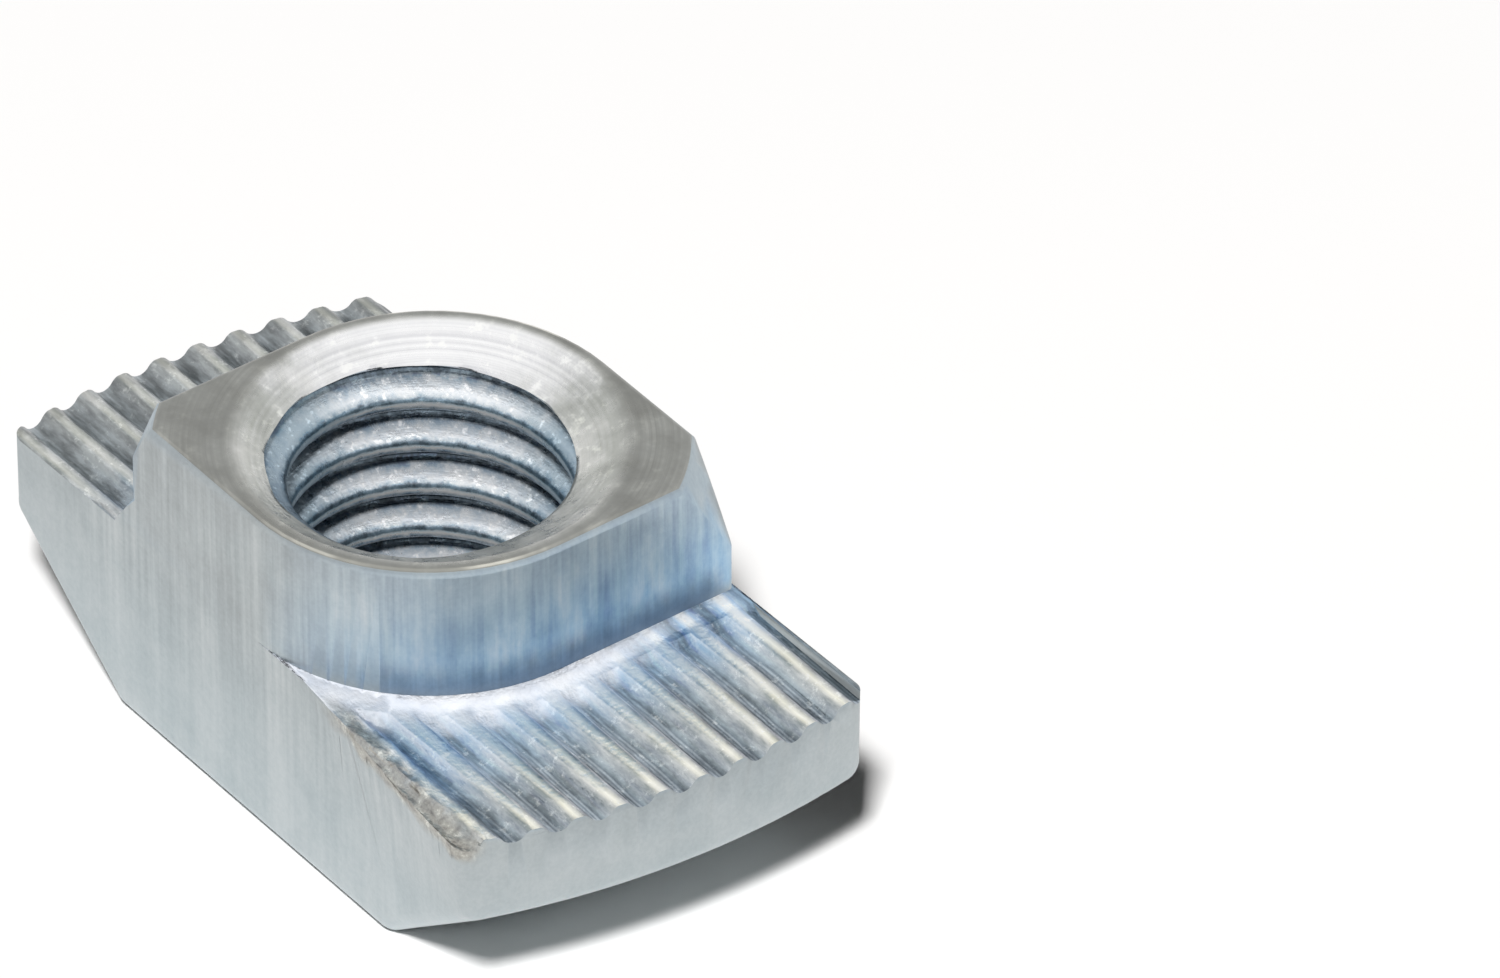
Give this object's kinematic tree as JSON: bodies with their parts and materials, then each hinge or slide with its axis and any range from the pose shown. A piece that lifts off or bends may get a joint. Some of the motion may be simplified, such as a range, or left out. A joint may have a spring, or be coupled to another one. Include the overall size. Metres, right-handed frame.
{
  "type": "t slot nut",
  "caption": "Rotate-in hammer-type T-slot nut: oblong bevelled body with serrated wings, a collar with rounded and square corners in turn, and a tapped through bore.",
  "frame": {"origin": "on the bore axis, at the flat bottom face the nut rests on", "axes": "+Z along the bore axis from the bottom face to the collar; +X along the body's long direction; the flat sides are square to Y"},
  "size_m": [0.02, 0.0107, 0.0092],
  "materials": {
    "zinc_steel": "bright zinc plated, satin"
  },
  "bodies": {
    "root": {"t_slot_nut": "zinc_steel"}
  },
  "joints": []
}
